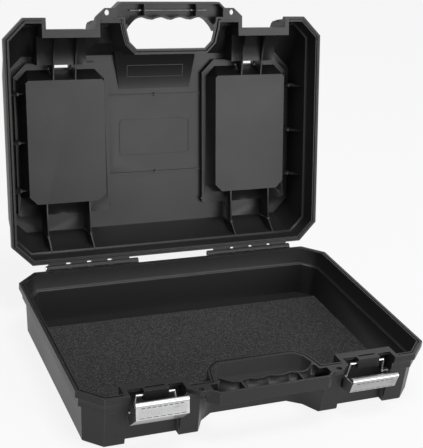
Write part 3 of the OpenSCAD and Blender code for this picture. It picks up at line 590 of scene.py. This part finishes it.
# Pressed pattern on the latch levers' front plates: lengths in metres, slants in radians
leverPress = {
    "tilt": {"left": 50.0, "right": 80.0},  # degrees that each lever is turned, as it hangs
    "faceTop": (0.00043, 0.0269),  # the plate's crease, in y and z from the pivot of an untilted lever
    "faceFoot": (-0.0120, 0.0205),
    "width": 0.055,  # that a row may fill
    "rows": {
        # "along" is how far down the plate a row lies, from the crease
        "Ribs": {"Pitch": 0.0021, "Radius": 0.00042, "Length": 0.0086, "Slant": 0.42, "Flatten": 0.6,
                 "along": 0.0069, "material": finishes["zincSteel"][0]},
        # The slots and the seam are dark bars standing on the plate: painted shade of the recesses
        "Slots": {"Pitch": 0.0062, "Radius": 0.0005, "Length": 0.0042, "Slant": math.pi / 2,
                  "Flatten": 0.5, "along": 0.0012, "material": paintedSlotShade},
        "Seam": {"Pitch": 0.0078, "Radius": 0.0004, "Length": 0.0060, "Slant": math.pi / 2,
                 "Flatten": 0.5, "along": 0.0122, "material": paintedSlotShade},
    },
}


def makePressTree():
    # A row of slanted, flattened bars along x, turned about x and moved to its place
    tree, ins, outs = newGroup("pressedRow", "GeometryNodeTree", {
        "Count": "Int", "Pitch": "Float", "Radius": "Float", "Length": "Float", "Slant": "Float",
        "Flatten": "Float", "Turn": "Float", "Place": "Vector", "Finish": "Material",
    }, {"Geometry": "Geometry"})
    gaps = maths(tree, "SUBTRACT", ins.outputs["Count"], 1.0)
    span = maths(tree, "MULTIPLY", ins.outputs["Pitch"], gaps)
    start = addNode(tree, "ShaderNodeCombineXYZ", {0: maths(tree, "MULTIPLY", span, -0.5)})
    offset = addNode(tree, "ShaderNodeCombineXYZ", {0: ins.outputs["Pitch"]})
    row = addNode(tree, "GeometryNodeMeshLine", {
        "Count": ins.outputs["Count"], "Start Location": start.outputs[0], "Offset": offset.outputs[0]})
    bar = addNode(tree, "GeometryNodeMeshCylinder", {
        "Vertices": 8, "Radius": ins.outputs["Radius"], "Depth": ins.outputs["Length"]})
    lean = addNode(tree, "ShaderNodeCombineXYZ", {1: ins.outputs["Slant"]})
    leaned = addNode(tree, "GeometryNodeTransform", {
        "Geometry": bar.outputs[0], "Rotation": lean.outputs[0]})
    squeeze = addNode(tree, "ShaderNodeCombineXYZ", {0: 1.0, 1: ins.outputs["Flatten"], 2: 1.0})
    pressed = addNode(tree, "GeometryNodeTransform", {
        "Geometry": leaned.outputs[0], "Scale": squeeze.outputs[0]})
    place = addNode(tree, "GeometryNodeInstanceOnPoints", {
        "Points": row.outputs[0], "Instance": pressed.outputs[0]})
    real = addNode(tree, "GeometryNodeRealizeInstances", {0: place.outputs[0]})
    turn = addNode(tree, "ShaderNodeCombineXYZ", {0: ins.outputs["Turn"]})
    moved = addNode(tree, "GeometryNodeTransform", {
        "Geometry": real.outputs[0], "Translation": ins.outputs["Place"], "Rotation": turn.outputs[0]})
    finish = addNode(tree, "GeometryNodeSetMaterial", {
        "Geometry": moved.outputs[0], "Material": ins.outputs["Finish"]})
    tree.links.new(finish.outputs[0], outs.inputs[0])
    return tree


def leverPoint(side, along):
    # A point on the lever's front plate, that far from the crease, and the way down the plate
    x, pivotY, pivotZ = joints["lever_" + side]["pos_m"]
    swing = Matrix.Rotation(math.radians(leverPress["tilt"][side]), 2)
    top, foot = Vector(leverPress["faceTop"]), Vector(leverPress["faceFoot"])
    down = swing @ (foot - top).normalized()
    y, z = Vector((pivotY, pivotZ)) + swing @ top + down * along
    return (x, y, z), down


def pressRow(name, side, row, tree):
    place, down = leverPoint(side, row["along"])
    count = int(leverPress["width"] / row["Pitch"])
    values = dict(row, Count=count, Place=place, Turn=math.atan2(down.x, -down.y), Finish=row["material"])
    return runTree(linkPiece(name, bpy.data.meshes.new(name)), tree, values)


pressTree = makePressTree()
for side in sides:
    for label, row in leverPress["rows"].items():
        piece = pressRow("lever" + label + "_" + side, side, row, pressTree)
        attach(piece, "lever_" + side)
print("lever pattern pressed")

# Raised lines inside the lid, in metres on the shut lid: x, y, and the height over the lid's rim.
# A root lies in the wall, and a crest stands off it, nearer to the rim
lidLines = {
    "rimGap": 0.0002,
    "spine": {"halfLength": 0.052, "y": -0.1625, "halfWidth": 0.00045, "root": 0.0137, "crest": 0.0085},
    "bosses": {"x": (-0.0395, 0.0305), "half": (0.0024, 0.0013), "crest": 0.0072},
    "border": {"halfLength": 0.0395, "y": (-0.090, -0.074), "width": 0.0009,
               "raised": 0.0005, "sunk": 0.0003},
    "scoopFace": {"y": -0.1085, "height": 0.0615, "slope": 0.1155},
}


def openedPoint(x, y, height):
    # From its place on the shut lid to where the lid stands open
    hinge = joints["lid_hinge"]
    hingeY, hingeZ = hinge["pos_m"][1:]
    turn = math.radians(-hinge["range_deg"][1])
    across, over = y - hingeY, height + lidLines["rimGap"]
    return (x, hingeY + math.cos(turn) * across - math.sin(turn) * over,
            hingeZ + math.sin(turn) * across + math.cos(turn) * over)


def prism(outline, root, crest):
    # Closed prism through an outline of (x, y), between two heights
    count = len(outline)
    verts = [openedPoint(x, y, height) for height in (root, crest) for x, y in outline]
    faces = [tuple(range(count)), tuple(reversed(range(count, 2 * count)))]
    faces += ringFaces(count, 0, count)
    return verts, faces


def oblong(left, right, front, back):
    return [(left, front), (right, front), (right, back), (left, back)]


def borderRing(look, face):
    # Closed rectangular ring that follows the scoop's sloping face
    half, (front, back), width = look["halfLength"], look["y"], look["width"]
    outer = oblong(-half, half, front, back)
    inner = oblong(-half + width, half - width, front + width, back - width)
    verts = []
    for lift in (look["sunk"], -look["raised"]):
        verts += [openedPoint(x, y, face["height"] + face["slope"] * (y - face["y"]) + lift)
                  for x, y in outer + inner]
    sunkOuter, sunkInner, raisedOuter, raisedInner = range(0, len(verts), len(outer))
    faces = []
    for first, second in ((sunkOuter, sunkInner), (sunkInner, raisedInner),
                          (raisedInner, raisedOuter), (raisedOuter, sunkOuter)):
        faces += ringFaces(first, second, len(outer))
    return verts, faces


def lidPiece(name, parts, material):
    verts, faces = [], []
    for partVerts, partFaces in parts:
        faces += [tuple(i + len(verts) for i in face) for face in partFaces]
        verts += partVerts
    mesh = bpy.data.meshes.new(name)
    mesh.from_pydata(verts, [], faces)
    work = bmesh.new()
    work.from_mesh(mesh)
    bmesh.ops.recalc_face_normals(work, faces=work.faces)
    work.to_mesh(mesh)
    work.free()
    mesh.materials.append(material)
    obj = linkPiece(name, mesh)
    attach(obj, "lid")


def makeLidLines(look):
    spine, bosses = look["spine"], look["bosses"]
    y, half, thin = spine["y"], spine["halfLength"], spine["halfWidth"]
    parts = [prism(oblong(-half, half, y - thin, y + thin), spine["root"], spine["crest"])]
    wide, deep = bosses["half"]
    for x in bosses["x"]:
        diamond = [(x - wide, y), (x, y - deep), (x + wide, y), (x, y + deep)]
        parts.append(prism(diamond, spine["root"], bosses["crest"]))
    plain, edged = finishes["shellPlastic"]
    # The spine takes the edge material, so the whole rib is painted light grey as a highlight, with some
    # edge wear
    lidPiece("gripSpine", parts, edged)
    lidPiece("scoopBorder", [borderRing(look["border"], look["scoopFace"])], plain)


makeLidLines(lidLines)
print("lid lines raised")

# Lengths in metres, lamp power in watts
studio = {
    "floorSize": 14.0,
    "floorColour": (0.86, 0.86, 0.86, 1),
    "floorRoughness": 0.9,
    "floorGlow": 0.86,
    "ambient": 0.34,
    "lamps": {
        "keyLamp": {"place": (1.0, -2.1, 0.62), "aim": (0.0, 0.2, 0.2), "size": 1.3, "power": 27.0},
        "topLamp": {"place": (0.1, -0.5, 2.4), "aim": (0.0, 0.05, 0.1), "size": 1.0, "power": 24.0},
    },
}


def whiteForCamera(tree):
    # 1 for the rays that should see plain white
    path = tree.nodes.new("ShaderNodeLightPath")
    seen = maths(tree, "MAXIMUM", path.outputs["Is Camera Ray"], path.outputs["Is Glossy Ray"])
    return maths(tree, "MAXIMUM", seen, path.outputs["Is Transmission Ray"])


def makeFloor(look):
    half = look["floorSize"] / 2
    mesh = bpy.data.meshes.new("floor")
    corners = [(-half, -half, 0), (half, -half, 0), (half, half, 0), (-half, half, 0)]
    mesh.from_pydata(corners, [], [(0, 1, 2, 3)])
    material, tree, shader = newMaterial("floorWhite", {
        "Base Color": look["floorColour"], "Roughness": look["floorRoughness"], "Specular IOR Level": 0.0})
    glow = addNode(tree, "ShaderNodeEmission", {"Strength": 1.0})
    share = maths(tree, "MULTIPLY", whiteForCamera(tree), look["floorGlow"])
    mix = addNode(tree, "ShaderNodeMixShader", {0: share, 1: shader.outputs[0], 2: glow.outputs[0]})
    tree.links.new(mix.outputs[0], tree.nodes["Material Output"].inputs["Surface"])
    mesh.materials.append(material)
    linkPiece("floor", mesh)


def makeSurroundings(look):
    world = bpy.data.worlds.new("studio")
    scene.world = world
    world.use_nodes = True
    tree = world.node_tree
    white = (1, 1, 1, 1)
    dim = tree.nodes["Background"]
    dim.inputs["Color"].default_value = white
    dim.inputs["Strength"].default_value = look["ambient"]
    bright = addNode(tree, "ShaderNodeBackground", {"Color": white, "Strength": 1.0})
    mix = addNode(tree, "ShaderNodeMixShader", {
        0: whiteForCamera(tree), 1: dim.outputs[0], 2: bright.outputs[0]})
    tree.links.new(mix.outputs[0], tree.nodes["World Output"].inputs["Surface"])


def makeLamps(lamps):
    for name, lamp in lamps.items():
        data = bpy.data.lights.new(name, "AREA")
        data.shape = "DISK"
        data.size = lamp["size"]
        data.energy = lamp["power"]
        obj = bpy.data.objects.new(name, data)
        place, aim = Vector(lamp["place"]), Vector(lamp["aim"])
        turn = (aim - place).to_track_quat("-Z", "Y").to_matrix().to_4x4()
        obj.matrix_world = Matrix.Translation(place) @ turn
        scene.collection.objects.link(obj)


makeFloor(studio)
makeSurroundings(studio)
makeLamps(studio["lamps"])
scene.view_settings.view_transform = "Standard"
print("studio set")
